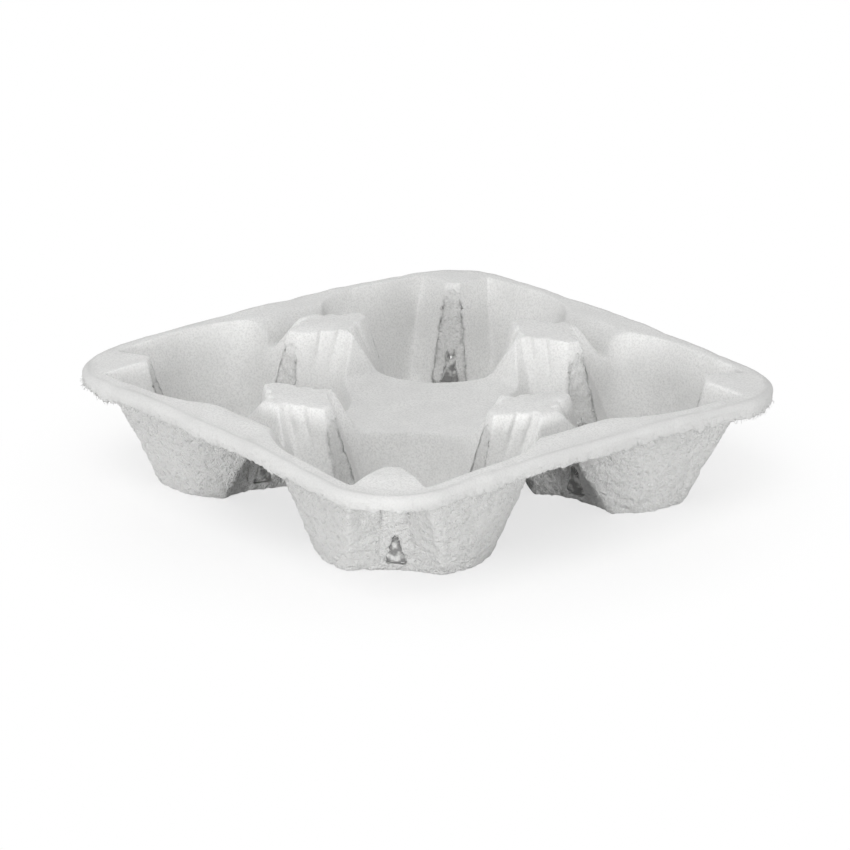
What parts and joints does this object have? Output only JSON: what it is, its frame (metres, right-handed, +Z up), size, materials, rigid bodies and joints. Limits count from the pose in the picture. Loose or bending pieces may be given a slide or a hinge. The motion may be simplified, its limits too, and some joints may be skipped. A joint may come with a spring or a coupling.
{
  "type": "moulded pulp cup carrier",
  "caption": "Square moulded pulp tray that carries take-away cups in flared wells with gripping fingers, fluted ridges and a turned-down rim.",
  "frame": {"origin": "middle of the four foot bases, on the surface that the tray stands on", "axes": "+Z up, +X and +Y square to the tray's sides"},
  "size_m": [0.215, 0.215, 0.049],
  "materials": {
    "pulp": "matt, felted paper fibre, smoother inside than outside"
  },
  "bodies": {
    "root": {"carrier_tray": "pulp"}
  },
  "joints": []
}
